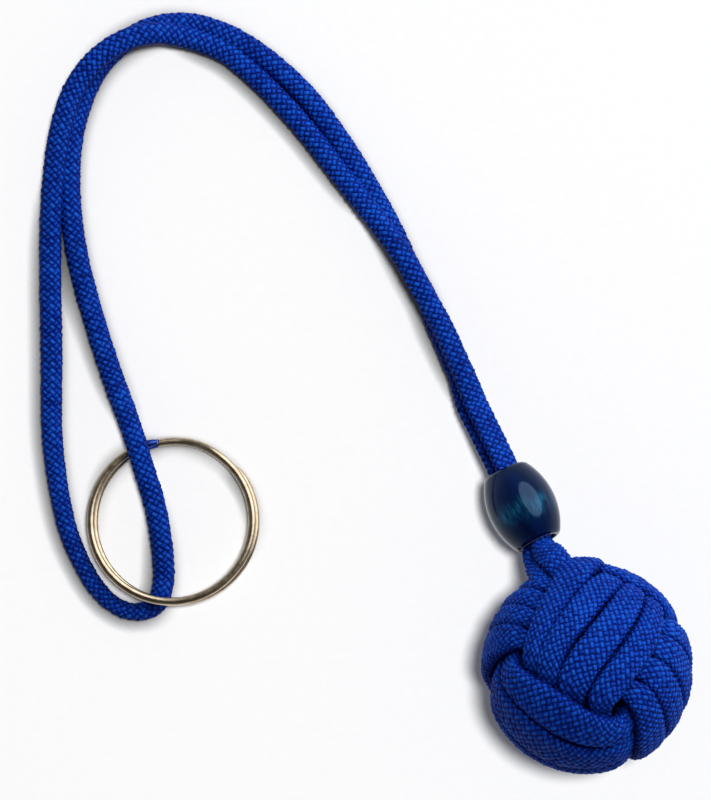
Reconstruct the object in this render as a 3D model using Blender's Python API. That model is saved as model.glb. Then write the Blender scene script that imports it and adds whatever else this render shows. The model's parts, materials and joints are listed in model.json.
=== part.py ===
# Paracord lanyard: a monkey's fist knot tied over a steel ball, a doubled cord
# with a wooden barrel bead on it, and a split ring in the bight of the cord.
# Metres, +Z up. The origin is on the surface that the lanyard lies on, under the
# middle of the fist, the bead and the ring.

import math

import bmesh
import bpy
from mathutils import Euler, Matrix, Vector
from mathutils.geometry import interpolate_bezier

MM = 0.001

# Cord
CORD_DIAMETER = 4.0 * MM
SLIM_SHARE = 0.7             # how far the bead's bore squeezes each strand
NECK_SHARE = 0.85            # and the knot squeezes it where it leaves the fist
CLEARANCE = 0.3 * MM         # between pieces that touch on the real lanyard

# Monkey's fist
BALL_DIAMETER = 25.0 * MM
TURNS = 4                    # turns in each of the three sets
WRAP_THICKNESS = 0.725 * CORD_DIAMETER   # the cord lies flattened on the ball
WRAP_GAP = 0.25 * MM         # between neighbouring turns
FACE_SPREAD = 76.0           # degrees of the ball that a set covers where it is on top
EDGE_SPREAD = 58.0           # and half way to where it goes under
UNDER_SPREAD = 69.0          # and where it is under the next set
INNER_DROP = (2.73, -0.071)  # how quickly and how early a turn drops to the lower level
OUTER_DROP = (3.0, -0.038)   # the same for the first and the last turn of a set
OUTER_LEAN = 2.8             # degrees that those two lean over at the edges
WRAP_ROUNDNESS = 2.29        # 2 is an ellipse, more is squarer
STEP_HALF_ANGLE = 35.0       # degrees either side of a hidden crossing, where a turn steps over
FIRST_TURN_START = -29.0     # degrees, where the right neck strand joins the first set
CORNER_LIFT = 1.2 * MM       # the left neck strand ends this far over the top turns' middle
FIST_CENTRE = (36.25 * MM, -11.45 * MM)
FIST_ANGLES = (-30.0, -12.1, -21.4)

# Barrel bead
BEAD_LENGTH = 14.5 * MM
BEAD_DIAMETER = 12.6 * MM
BEAD_END_WALL = 1.0 * MM     # thickness of the wall at the bead's ends
BEAD_RIM = 0.25 * MM         # small chamfer at the bore and at the shoulder
BEAD_CENTRE = (25.0 * MM, 17.3 * MM, 10.7 * MM)
BEAD_HEADING = 115.7         # degrees from +X, away from the fist
BEAD_TILT = 14.0             # degrees, the end at the fist is the higher one
BEAD_TRAVEL = 12.0 * MM
BEAD_SPARE = 2.0 * MM        # straight cord beyond each end of the bead's travel
PAIR_LEAN = 60.0             # degrees, how steeply one strand lies over the other
PAIR_GAP = 0.15 * MM
BEAD_BORE = 2.0 * CORD_DIAMETER * SLIM_SHARE + PAIR_GAP + 2.0 * CLEARANCE

# Split ring
RING_DIAMETER = 31.4 * MM
RING_WIRE_WIDTH = 1.5 * MM
RING_WIRE_HEIGHT = 1.0 * MM
RING_COIL_GAP = 0.12 * MM
RING_TURN_SHIFT = 0.65 * MM  # the two turns don't lie quite on one another
RING_CENTRE = (-39.2 * MM, 14.45 * MM)
RING_LIFT = CORD_DIAMETER + 1.5 * CLEARANCE   # its side at the bight lies on the cord
RING_TILT_HEADING = 81.0     # degrees from +X, towards the low side
RING_END_AZIMUTH = 42.0      # degrees, where the upper turn is cut
RING_RAMP_START = 312.0      # degrees of travel from the cut, clockwise
RING_RAMP_END = 350.0
RING_TRAVEL = 668.0          # degrees of wire in all
RING_ROUNDNESS = 3.0         # of the wire's section, as for the wraps

# Facets
STATIONS_PER_TURN = 48
TANGENT_STEP = 0.001         # radians, for the direction of a wrap
WRAP_SIDES = 8
BALL_SEGMENTS = 24
RING_STATION = 6.0           # degrees
RING_SIDES = 8
BEAD_SEGMENTS = 32
BEAD_ARC_STEPS = 10
CORD_BEVEL_RESOLUTION = 2
BEND_ANGLE = 22.0            # degrees of turn from which a span of the cord gets a point more
SHARP_ANGLE = 35.0           # degrees between faces from which an edge is sharp
CORD_SHARP_ANGLE = 60.0
RING_SHARP_ANGLE = 50.0

# The cord's way from the fist to the bead, and back from it: its middle, in millimetres
RIGHT_NECK = [
    (33.6, 7.3, 21.4),
    (32.2, 9.3, 17.8),
    (30.5, 10.6, 15.6),
]
LEFT_NECK = [
    (27.3, 9.1, 13.2),
    (28.1, 7.7, 16.8),
]

# From the bead to the ring and back: x and y of its middle in millimetres, and the
# height of its underside in cord diameters
LOOP = [
    (14.6, 41.4, 1.13),
    (12.5, 46.1, 1.03),
    (10.4, 50.7, 0.95),
    (7.7, 55.4, 1.00),
    (2.9, 63.8, 1.08),
    (-1.8, 70.4, 0.73),
    (-7.0, 77.0, 0.25),
    (-16.8, 89.4, 0.05),
    (-27.8, 100.1, 0.05),
    (-34.2, 103.2, 0.23),
    (-42.4, 104.5, 0.85),
    (-49.7, 102.2, 1.08),
    (-55.8, 96.6, 0.98),
    (-59.3, 88.9, 0.88),
    (-61.3, 77.7, 0.53),
    (-62.0, 65.0, 0.10),
    (-61.8, 45.0, 0.00),
    (-61.6, 29.0, 0.00),
    (-59.0, 13.5, 0.00),
    (-54.9, 4.2, 0.00),
    (-51.7, 0.1, 0.00),
    (-48.9, -1.8, 0.00),
    (-46.1, -2.4, 0.00),
    (-43.4, -1.8, 0.00),
    (-41.7, 0.2, 0.00),
    (-41.0, 5.5, 0.05),
    (-42.2, 16.0, 0.53),
    (-44.5, 24.2, 0.75),
    (-47.0, 32.0, 0.60),
    (-50.5, 41.3, 0.15),
    (-54.0, 52.0, 0.00),
    (-57.3, 65.0, 0.00),
    (-58.5, 77.6, 0.00),
    (-57.2, 89.0, 0.00),
    (-53.0, 98.7, 0.00),
    (-46.9, 104.2, 0.00),
    (-39.8, 106.6, 0.00),
    (-33.0, 105.9, 0.00),
    (-25.0, 102.2, 0.00),
    (-14.9, 93.6, 0.00),
    (-6.5, 82.1, 0.00),
    (0.5, 70.0, 0.00),
    (4.5, 61.8, 0.00),
    (7.9, 55.4, 0.00),
    (9.6, 50.7, 0.03),
    (11.6, 46.1, 0.10),
    (13.6, 41.4, 0.25),
]


def clear_scene():
    for old in list(bpy.data.objects):
        bpy.data.objects.remove(old, do_unlink=True)


def make_material(name, colour, roughness, metallic=0.0):
    material = bpy.data.materials.new(name)
    material.use_nodes = True
    shader = material.node_tree.nodes["Principled BSDF"]
    shader.inputs["Base Color"].default_value = (*colour, 1.0)
    shader.inputs["Roughness"].default_value = roughness
    shader.inputs["Metallic"].default_value = metallic
    return material


def smoothstep(value):
    value = min(max(value, 0.0), 1.0)
    return value * value * (3.0 - 2.0 * value)


def superellipse(width, height, sides, roundness):
    """Corners of a section with rounded corners and a flat on each side."""
    corners = []
    for index in range(sides):
        angle = math.tau * (index + 0.5) / sides
        across = abs(math.cos(angle)) ** (2.0 / roundness)
        up = abs(math.sin(angle)) ** (2.0 / roundness)
        corners.append((
            math.copysign(across * width / 2.0, math.cos(angle)),
            math.copysign(up * height / 2.0, math.sin(angle)),
        ))
    return corners


def sweep(path, frames, sections):
    """One closed body through a section at each point of an open path."""
    mesh = bmesh.new()
    rings = []
    for centre, (across, up), section in zip(path, frames, sections):
        rings.append([mesh.verts.new(centre + across * x + up * y) for x, y in section])
    for first, second in zip(rings, rings[1:]):
        for index in range(len(first)):
            after = (index + 1) % len(first)
            mesh.faces.new((first[index], first[after], second[after], second[index]))
    mesh.faces.new(list(reversed(rings[0])))
    mesh.faces.new(rings[-1])
    bmesh.ops.recalc_face_normals(mesh, faces=mesh.faces)
    return mesh


def add_object(name, mesh, material, sharp_angle=SHARP_ANGLE):
    data = bpy.data.meshes.new(name)
    mesh.to_mesh(data)
    mesh.free()
    data.shade_smooth()
    data.set_sharp_from_angle(angle=math.radians(sharp_angle))
    data.materials.append(material)
    piece = bpy.data.objects.new(name, data)
    bpy.context.collection.objects.link(piece)
    return piece


# The fist's own axes: the face that looks up, the face at the bead and the right one
FIST_AXES = (Vector((0.0, 0.0, 1.0)), Vector((0.0, 1.0, 0.0)), Vector((1.0, 0.0, 0.0)))

# The two levels of the cord on the ball, as distances from the ball's centre
LOWER_LEVEL = BALL_DIAMETER / 2.0 + CLEARANCE + WRAP_THICKNESS / 2.0
UPPER_LEVEL = LOWER_LEVEL + WRAP_THICKNESS + CLEARANCE


def turn_offset(angle):
    """Turns from the middle of the set. The cord steps over where it is out of sight."""
    offset = -(TURNS - 1) / 2.0
    half = math.radians(STEP_HALF_ANGLE)
    for turn in range(TURNS - 1):
        crossing = math.radians(270.0) + math.tau * turn
        offset += smoothstep((angle - crossing + half) / (2.0 * half))
    return offset


def wrap_level(angle):
    """Distance from the ball's centre: on top at 0 degrees, under the next set at 90."""
    outermost = abs(turn_offset(angle)) > TURNS / 4.0
    sharpness, bias = OUTER_DROP if outermost else INNER_DROP
    share = math.tanh(sharpness * (math.cos(2.0 * angle) + bias)) / math.tanh(sharpness)
    return (UPPER_LEVEL + LOWER_LEVEL) / 2.0 + (UPPER_LEVEL - LOWER_LEVEL) / 2.0 * share


def turn_spacing(angle):
    """Distance between the middles of neighbouring turns, closest at the edges of the set."""
    fold = math.cos(2.0 * angle)
    swing = (FACE_SPREAD * UPPER_LEVEL - UNDER_SPREAD * LOWER_LEVEL) / 2.0
    edge_level = (UPPER_LEVEL + LOWER_LEVEL) / 2.0
    bulge = (FACE_SPREAD * UPPER_LEVEL + UNDER_SPREAD * LOWER_LEVEL) / 2.0
    bulge -= EDGE_SPREAD * edge_level
    spread = EDGE_SPREAD * edge_level + swing * fold + bulge * fold * fold
    return math.radians(spread / TURNS)


def wrap_point(angle, axes):
    """The cord's middle, in a set that is on top along its first axis, under along its second."""
    top, under, side = axes
    level = wrap_level(angle)
    slip = turn_offset(angle) * turn_spacing(angle) / level
    around = top * math.cos(angle) + under * math.sin(angle)
    return (around * math.cos(slip) + side * math.sin(slip)) * level


def wrap_set(name, axes, start, material):
    """A set of turns as one length of cord, laid side by side over the set before."""
    begin = math.radians(start)
    end = math.radians(270.0 - STEP_HALF_ANGLE) + math.tau * (TURNS - 1)
    count = round(STATIONS_PER_TURN * (end - begin) / math.tau)
    path, frames, sections = [], [], []
    for station in range(count + 1):
        angle = begin + (end - begin) * station / count
        centre = wrap_point(angle, axes)
        ahead = wrap_point(angle + TANGENT_STEP, axes)
        behind = wrap_point(angle - TANGENT_STEP, axes)
        along = (ahead - behind).normalized()
        up = (centre - along * centre.dot(along)).normalized()
        offset = turn_offset(angle)
        lean = 0.0
        if abs(offset) > TURNS / 4.0:
            lean = math.copysign(math.sin(2.0 * angle) ** 2, offset)
        roll = Matrix.Rotation(math.radians(OUTER_LEAN * lean), 3, along)
        # Where the cord runs aslant there is less room across it
        slant = math.sqrt(1.0 - along.dot(axes[2]) ** 2)
        width = turn_spacing(angle) * slant - WRAP_GAP
        path.append(centre)
        frames.append((roll @ along.cross(up), roll @ up))
        sections.append(superellipse(width, WRAP_THICKNESS, WRAP_SIDES, WRAP_ROUNDNESS))
    return add_object(name, sweep(path, frames, sections), material, CORD_SHARP_ANGLE)


def make_fist(cord_material, steel_material):
    front, back, right = FIST_AXES
    next_start = STEP_HALF_ANGLE - 90.0
    pieces = [
        wrap_set("first_wraps", (front, -back, right), FIRST_TURN_START, cord_material),
        wrap_set("second_wraps", (back, -right, front), next_start, cord_material),
        wrap_set("third_wraps", (right, -front, back), next_start, cord_material),
    ]
    ball = bmesh.new()
    bmesh.ops.create_uvsphere(
        ball,
        u_segments=BALL_SEGMENTS,
        v_segments=BALL_SEGMENTS // 2,
        radius=BALL_DIAMETER / 2.0,
    )
    pieces.append(add_object("core_ball", ball, steel_material))
    turned = Euler([math.radians(angle) for angle in FIST_ANGLES]).to_matrix().to_4x4()
    return rest_on_floor(pieces, FIST_CENTRE, turned)


def rest_on_floor(pieces, centre, turned):
    """Turns the pieces together and sets the lowest point of them on the floor."""
    corners = [turned @ corner.co for piece in pieces for corner in piece.data.vertices]
    height = -min(corner.z for corner in corners)
    place = Matrix.Translation((*centre, height)) @ turned
    for piece in pieces:
        piece.matrix_world = place
    return place


def bead_axes():
    """The bead's own directions: across it, up out of it, and along it away from the fist."""
    heading = math.radians(BEAD_HEADING)
    tilt = math.radians(BEAD_TILT)
    level = Vector((math.cos(heading), math.sin(heading), 0.0))
    along = level * math.cos(tilt) - Vector((0.0, 0.0, math.sin(tilt)))
    across = Vector((math.sin(heading), -math.cos(heading), 0.0))
    return across, across.cross(along), along


def make_bead(material):
    half = BEAD_LENGTH / 2.0
    bore = BEAD_BORE / 2.0
    shoulder = bore + BEAD_END_WALL
    belly = BEAD_DIAMETER / 2.0
    rise = belly - shoulder
    arc_radius = (half * half + rise * rise) / (2.0 * rise)
    arc_half = half - BEAD_RIM
    profile = [(bore, -half + BEAD_RIM), (bore + BEAD_RIM, -half), (shoulder - BEAD_RIM, -half)]
    for step in range(BEAD_ARC_STEPS + 1):
        height = -arc_half + 2.0 * arc_half * step / BEAD_ARC_STEPS
        radius = belly - arc_radius + math.sqrt(arc_radius ** 2 - height ** 2)
        profile.append((radius, height))
    profile += [(shoulder - BEAD_RIM, half), (bore + BEAD_RIM, half), (bore, half - BEAD_RIM)]
    mesh = bmesh.new()
    columns = []
    for segment in range(BEAD_SEGMENTS):
        turn = math.tau * segment / BEAD_SEGMENTS
        columns.append([
            mesh.verts.new((radius * math.cos(turn), radius * math.sin(turn), height))
            for radius, height in profile
        ])
    for segment in range(BEAD_SEGMENTS):
        near = columns[segment]
        far = columns[(segment + 1) % BEAD_SEGMENTS]
        for index in range(len(profile)):
            after = (index + 1) % len(profile)
            mesh.faces.new((near[index], far[index], far[after], near[after]))
    bmesh.ops.recalc_face_normals(mesh, faces=mesh.faces)
    bead = add_object("bead", mesh, material)
    across, up, along = bead_axes()
    turned = Matrix((up, across, along)).transposed().to_4x4()
    bead.matrix_world = Matrix.Translation(BEAD_CENTRE) @ turned


def make_ring(material):
    """Two turns of flattened wire, cut at each end, with one ramp from turn to turn."""
    radius = (RING_DIAMETER - RING_WIRE_WIDTH) / 2.0
    half_pitch = (RING_WIRE_HEIGHT + RING_COIL_GAP) / 2.0
    section = superellipse(RING_WIRE_WIDTH, RING_WIRE_HEIGHT, RING_SIDES, RING_ROUNDNESS)
    count = round(RING_TRAVEL / RING_STATION)
    path, frames, sections = [], [], []
    for station in range(count + 1):
        travel = RING_TRAVEL * station / count
        azimuth = math.radians(RING_END_AZIMUTH - travel)
        down = smoothstep((travel - RING_RAMP_START) / (RING_RAMP_END - RING_RAMP_START))
        outward = Vector((math.cos(azimuth), math.sin(azimuth), 0.0))
        centre = outward * radius
        centre.x += RING_TURN_SHIFT * (down - 0.5)
        centre.z = half_pitch * (1.0 - 2.0 * down)
        path.append(centre)
        frames.append((outward, Vector((0.0, 0.0, 1.0))))
        sections.append(section)
    ring = add_object("split_ring", sweep(path, frames, sections), material, RING_SHARP_ANGLE)
    heading = math.radians(RING_TILT_HEADING)
    hinge = Vector((-math.sin(heading), math.cos(heading), 0.0))
    tilt = math.asin(RING_LIFT / (RING_DIAMETER - RING_WIRE_WIDTH))
    rest_on_floor([ring], RING_CENTRE, Matrix.Rotation(tilt, 4, hinge))


def bead_strand(side, distance):
    """A point of one strand, at a distance from the bead's middle away from the fist."""
    across, up, along = bead_axes()
    lean = math.radians(PAIR_LEAN)
    apart = (CORD_DIAMETER * SLIM_SHARE + PAIR_GAP) / 2.0
    aside = (across * math.cos(lean) + up * math.sin(lean)) * apart * side
    return Vector(BEAD_CENTRE) + along * distance + aside


def cord_route(fist_place):
    """Points of the cord's middle, each with the share of its full thickness there."""
    front, back, right = FIST_AXES
    first_turn = math.radians(FIRST_TURN_START) - 2.0 * CLEARANCE / UPPER_LEVEL
    joint = wrap_point(first_turn, (front, -back, right))
    before = wrap_point(first_turn - TANGENT_STEP, (front, -back, right))
    leaving = joint + (before - joint).normalized() * CORD_DIAMETER / 2.0
    corner = (front + back - right).normalized() * (UPPER_LEVEL + CORNER_LIFT)
    near = -BEAD_LENGTH / 2.0
    far = BEAD_LENGTH / 2.0 + BEAD_TRAVEL
    stretch = [near - BEAD_SPARE, near, (near + far) / 2.0, far, far + BEAD_SPARE]
    route = [(fist_place @ joint, NECK_SHARE), (fist_place @ leaving, NECK_SHARE)]
    route += [(Vector(point) * MM, NECK_SHARE) for point in RIGHT_NECK]
    route += [(bead_strand(1.0, distance), SLIM_SHARE) for distance in stretch]
    for x, y, underside in LOOP:
        route.append((Vector((x * MM, y * MM, (underside + 0.5) * CORD_DIAMETER)), 1.0))
    route += [(bead_strand(-1.0, distance), SLIM_SHARE) for distance in reversed(stretch)]
    route += [(Vector(point) * MM, NECK_SHARE) for point in LEFT_NECK]
    route.append((fist_place @ corner, NECK_SHARE))
    return route


def smooth_cord(route):
    """The route with a point added in the middle of every span that bends."""
    tangents = []
    for index in range(len(route)):
        behind = route[max(index - 1, 0)][0]
        ahead = route[min(index + 1, len(route) - 1)][0]
        tangents.append((ahead - behind).normalized())
    smooth = []
    for index in range(len(route) - 1):
        (first, share), (second, next_share) = route[index:index + 2]
        smooth.append((first, share))
        if tangents[index].angle(tangents[index + 1]) < math.radians(BEND_ANGLE):
            continue
        reach = (second - first).length / 3.0
        leave = first + tangents[index] * reach
        arrive = second - tangents[index + 1] * reach
        middle = interpolate_bezier(first, leave, arrive, second, 3)[1]
        smooth.append((middle, (share + next_share) / 2.0))
    smooth.append(route[-1])
    return smooth


def make_loop(fist_place, material):
    points = smooth_cord(cord_route(fist_place))
    curve = bpy.data.curves.new("loop_cord", "CURVE")
    curve.dimensions = "3D"
    curve.bevel_depth = CORD_DIAMETER / 2.0
    curve.bevel_resolution = CORD_BEVEL_RESOLUTION
    curve.use_fill_caps = True
    spline = curve.splines.new("POLY")
    spline.points.add(len(points) - 1)
    spline.use_smooth = True
    for place, (middle, share) in zip(spline.points, points):
        lowest = CORD_DIAMETER / 2.0 * share
        place.co = (middle.x, middle.y, max(middle.z, lowest), 1.0)
        place.radius = share
    curve.materials.append(material)
    bpy.context.collection.objects.link(bpy.data.objects.new("loop_cord", curve))


def main():
    clear_scene()
    cord_blue = make_material("cord_blue", (0.015, 0.08, 0.42), 0.7)
    steel = make_material("steel", (0.55, 0.55, 0.56), 0.3, metallic=1.0)
    stained_wood = make_material("stained_wood", (0.01, 0.03, 0.08), 0.2)
    nickel = make_material("nickel", (0.72, 0.67, 0.58), 0.18, metallic=1.0)
    fist_place = make_fist(cord_blue, steel)
    make_bead(stained_wood)
    make_ring(nickel)
    make_loop(fist_place, cord_blue)


main()
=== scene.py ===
import json
import math

import bpy
import numpy as np
from mathutils import Euler, Matrix, Vector

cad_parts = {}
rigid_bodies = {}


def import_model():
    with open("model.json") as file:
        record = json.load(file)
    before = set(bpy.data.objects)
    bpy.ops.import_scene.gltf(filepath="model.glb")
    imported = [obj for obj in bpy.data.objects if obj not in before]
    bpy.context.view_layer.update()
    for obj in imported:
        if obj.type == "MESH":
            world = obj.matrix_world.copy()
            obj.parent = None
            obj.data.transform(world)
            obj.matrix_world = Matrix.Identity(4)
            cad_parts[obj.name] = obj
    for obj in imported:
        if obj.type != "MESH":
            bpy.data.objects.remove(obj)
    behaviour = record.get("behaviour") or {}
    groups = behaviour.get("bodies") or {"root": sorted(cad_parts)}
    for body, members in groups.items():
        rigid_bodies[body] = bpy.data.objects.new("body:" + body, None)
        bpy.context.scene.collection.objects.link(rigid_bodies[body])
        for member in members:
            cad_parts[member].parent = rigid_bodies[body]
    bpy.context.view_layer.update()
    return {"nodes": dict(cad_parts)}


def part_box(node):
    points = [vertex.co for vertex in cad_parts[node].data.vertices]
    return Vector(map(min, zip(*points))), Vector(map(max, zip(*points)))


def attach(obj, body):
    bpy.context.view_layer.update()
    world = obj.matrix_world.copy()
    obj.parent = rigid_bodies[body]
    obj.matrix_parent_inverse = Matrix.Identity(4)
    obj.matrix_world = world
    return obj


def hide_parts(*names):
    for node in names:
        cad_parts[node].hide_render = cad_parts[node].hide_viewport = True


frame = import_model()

mm = 0.001

# the lanyard is photographed from straight above; its lengths here are in millimetres
photo = {
    "over": (-5.45, 36.85),
    "height": 600,
    "pixels": (711, 800),
    "pixelsPerMillimetre": 5.375,
    "sensor": 36,
    "clipStart": 0.01,      # metres
}


def setCamera():
    data = bpy.data.cameras.new("overhead camera")
    data.sensor_fit = "VERTICAL"
    data.sensor_height = photo["sensor"]
    data.lens = (
        photo["sensor"] * photo["height"] * photo["pixelsPerMillimetre"] / photo["pixels"][1]
    )
    data.clip_start = photo["clipStart"]
    camera = bpy.data.objects.new("overhead camera", data)
    camera.location = (photo["over"][0] * mm, photo["over"][1] * mm, photo["height"] * mm)
    bpy.context.scene.collection.objects.link(camera)
    bpy.context.scene.camera = camera


setCamera()
print("camera over the lanyard")


# same route as the solid cord: x, y in mm, height of the underside in cord diameters
cord = {
    "diameter": 4.0,
    "width": 4.2,           # it lies a touch flat
    "thickness": 3.85,
    "columns": 16,          # of stitches round it
    "pick": 1.34,           # stitch to stitch along it
    "corner": 2.2,          # section: 2 is an ellipse, more is squarer
    "step": 0.3,            # mm from station to station along a route
    "soften": 6,            # stations over which width, thickness and roll are evened out
    "seed": 3,
    "loop": [
        (14.6, 41.4, 1.13), (12.5, 46.1, 1.02), (10.4, 50.7, 0.95), (7.7, 55.4, 1.0),
        (2.9, 63.8, 1.08), (-1.8, 70.4, 0.72), (-7.0, 77.0, 0.25), (-16.8, 89.4, 0.05),
        (-27.8, 100.1, 0.05), (-34.2, 103.2, 0.23), (-42.4, 104.5, 0.85), (-49.7, 102.2, 1.08),
        (-55.8, 96.6, 0.98), (-59.3, 88.9, 0.88), (-61.3, 77.7, 0.53), (-62.0, 65.0, 0.1),
        (-61.8, 45.0, 0.0), (-61.6, 29.0, 0.0), (-59.0, 13.5, 0.0), (-54.9, 4.2, 0.0),
        (-51.7, 0.1, 0.0), (-48.9, -1.8, 0.0), (-46.1, -2.4, 0.0), (-43.4, -1.8, 0.0),
        (-41.7, 0.2, 0.0), (-41.0, 5.5, 0.05), (-42.2, 16.0, 0.52), (-44.5, 24.2, 0.75),
        (-47.0, 32.0, 0.6), (-50.5, 41.3, 0.15), (-54.0, 52.0, 0.0), (-57.3, 65.0, 0.0),
        (-58.5, 77.6, 0.0), (-57.2, 89.0, 0.0), (-53.0, 98.7, 0.0), (-46.9, 104.2, 0.0),
        (-39.8, 106.6, 0.0), (-33.0, 105.9, 0.0), (-25.0, 102.2, 0.0), (-14.9, 93.6, 0.0),
        (-6.5, 82.1, 0.0), (0.5, 70.0, 0.0), (4.5, 61.8, 0.0), (7.9, 55.4, 0.0),
        (9.6, 50.7, 0.03), (11.6, 46.1, 0.1), (13.6, 41.4, 0.25),
    ],
    # in the bend through the ring it stands on its edge: number of the point, width
    "edgewise": {17: 4.0, 18: 3.7, 19: 3.45, 20: 3.3, 21: 3.3, 22: 3.4, 23: 3.6, 24: 4.0},
}

# wooden bead, and how the two strands lie squeezed on each other inside it
bead = {
    "centre": (25.0, 17.3, 10.7),
    "heading": 115.7,
    "tilt": 14.0,
    "length": 14.5,
    "belly": 12.6,
    "bore": 6.35,
    "endWall": 1.0,
    "rim": 0.3,
    "segments": 96,
    "lipSteps": 5,
    "outerLip": 0.8,        # its fall as a share of the inner lip's
    "sideSteps": 24,
    "sideTop": 0.9,         # rims below the end face, where the swelling side begins
    "travel": 12.0,
    "spare": 2.0,
    "strandWidth": 4.9,
    "strandThickness": 2.75,
    "pickShare": 0.95,      # squeezed stitches lie a little closer
    "pairLean": 60.0,
    "pairDistance": 2.9,
    "joinAt": 6.0,          # mm up its axis, where the knot's own pieces take over from the loop
    "pastMouth": 0.8,
    "mouthWidth": 4.4,      # the upper strand bunches up as it leaves
    "mouthShift": -0.35,
}

# the monkey's fist: four turns each way over a steel ball
fist = {
    "centre": (36.25, -11.45),
    "angles": (-30.0, -12.1, -21.4),
    "ball": 25.0,
    "clearance": 0.3,
    "wrap": 2.9,
    "turns": 4,
    "faceSpread": 84.0,
    "edgeSpread": 66.0,
    "underSpread": 69.0,
    "innerDrop": (3.8, 0.04),    # how sharply a turn goes under the next set, and how late
    "outerDrop": (4.2, 0.06),
    "stepHalfAngle": 35.0,
    "seam": -14.0,          # the first turn comes over the knot's shoulder to here
    "seamRows": (0, 6),     # stations after the seam that the shoulder's curve is aimed at
    "seamSoften": 8,
    "samples": 1600,
    "columns": 22,
    "neckColumns": 20,
    "pick": 1.27,
    "corner": 3.0,
    # mm that a turn is wider than its share, on the faces and at the edges
    "overlap": (-0.25, 0.65),
    "swell": 1.012,
    "facingLeast": -0.6,    # stitches that face further inwards aren't made
    "foldLeast": -0.8,      # nor those that lie deepest under the next set
    "seed": 11,
    # x, y, z, width, thickness, how far its flat follows the knot, roll in degrees
    "shoulder": [
        (37.4, 3.4, 12.3, 4.6, 2.6, 1, 0), (36.7, 6.1, 15.6, 5.6, 2.9, 1, 0),
        (36.0, 7.2, 19.5, 6.6, 2.9, 1, 0), (34.9, 6.95, 23.1, 7.0, 2.9, 1, 0),
        (33.2, 5.45, 25.8, 6.8, 2.9, 1, 0),
    ],
    "rightNeck": [
        (29.1, 9.65, 17.0, 5.5, 2.9, 0.0, 15), (29.9, 8.7, 19.6, 5.6, 2.8, 0.2, 5),
        (30.75, 7.8, 21.5, 5.5, 2.6, 0.5, 0), (31.7, 6.35, 22.6, 5.2, 2.4, 0.8, 0),
        (32.6, 4.9, 23.0, 5.0, 2.2, 1.0, 0),
    ],
    "leftNeck": [
        (27.4, 9.0, 13.0, 5.2, 2.8, 0.3, 15), (27.8, 6.7, 16.6, 5.2, 2.8, 0.6, 5),
        (28.4, 4.9, 20.6, 5.0, 2.8, 1, 0), (31.2, 1.1, 23.2, 3.6, 2.6, 1, 0),
    ],
    # the real knot isn't quite regular: line between turns, degrees round, and its pixel
    "pulls": {
        "first": [
            (-2, -30, 549, 575), (-2, 0, 534, 607), (-2, 30, 515.5, 645), (-2, 45, 523, 664),
            (-1, -30, 594, 576), (-1, 0, 566, 605), (-1, 30, 538, 643), (-1, 45, 530, 665),
            (0, -30, 621, 583), (0, 0, 594, 618), (0, 30, 563, 664), (0, 45, 550, 686),
            (1, -30, 647, 598), (1, 0, 625, 638), (1, 30, 596, 683), (1, 45, 581, 705),
            (2, -30, 671, 619), (2, 0, 655, 655), (2, 30, 633, 694), (2, 45, 622, 707),
        ],
        "second": [
            (2, 150, 527, 671), (2, 180, 563, 700), (2, 210, 603, 716),
            (1, 135, 494, 671), (1, 150, 509, 698), (1, 180, 552, 736), (1, 210, 603, 752),
            (0, 135, 484.5, 690), (0, 150, 505, 729), (0, 180, 547, 763), (0, 210, 603, 768),
            (2, 0, 627, 577), (2, 30, 598, 567), (2, -30, 655, 597),
        ],
        "third": [
            (-2, -45, 624, 706), (-2, -30, 638, 726), (-2, 0, 638, 752),
            (-1, -45, 641, 679), (-1, -30, 657, 697), (-1, 0, 669, 724),
            (0, -45, 658, 651), (0, -30, 674, 670), (0, 0, 684, 698),
            (1, -45, 666, 632), (1, -30, 680, 640),
            (-2, 225, 515, 648), (-2, 210, 496, 657), (-2, 180, 483, 674),
            (-2, 165, 486, 686, "far"), (-2, 150, 493, 697, "far"),
            (-1, 225, 525, 622), (-1, 210, 503, 618), (0, 225, 533, 605), (0, 210, 511, 603),
            (1, 225, 543, 586), (1, 210, 525, 586),
        ],
    },
    # and the far side keeps its regular shape, at these x and y on the plane z = -1
    "farMarks": [
        (0, 0), (2, 0), (-2, 0), (0, 2), (0, -2),
        (1.4, 1.4), (-1.4, 1.4), (1.4, -1.4), (-1.4, -1.4),
    ],
    "pullReach": 0.55,
    "pullSlack": 0.06,
}
fist["lower"] = fist["ball"] / 2 + fist["clearance"] + fist["wrap"] / 2
fist["upper"] = fist["lower"] + fist["wrap"] + fist["clearance"]
fist["crown"] = fist["upper"] + fist["wrap"] / 2
front, back, right = np.eye(3)[2], np.eye(3)[1], np.eye(3)[0]
wrapSets = {
    "first": (front, -back, right),
    "second": (back, -right, front),
    "third": (right, -front, back),
}


def unit(vectors):
    return vectors / np.linalg.norm(vectors, axis=-1, keepdims=True)


def easeIn(value):
    value = np.clip(value, 0, 1)
    return value * value * (3 - 2 * value)


def fistPlace():
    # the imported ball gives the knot's height over the floor
    low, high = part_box("core_ball")
    turned = np.array(Euler([math.radians(a) for a in fist["angles"]]).to_matrix())
    return turned, np.array([*fist["centre"], (low[2] + high[2]) / 2 / mm])


fistTurn, fistCentre = fistPlace()


def turnOffset(angle):
    offset = np.full_like(angle, -(fist["turns"] - 1) / 2)
    half = math.radians(fist["stepHalfAngle"])
    for turn in range(fist["turns"] - 1):
        crossing = math.radians(270) + math.tau * turn
        offset = offset + easeIn((angle - crossing + half) / (2 * half))
    return offset


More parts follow.
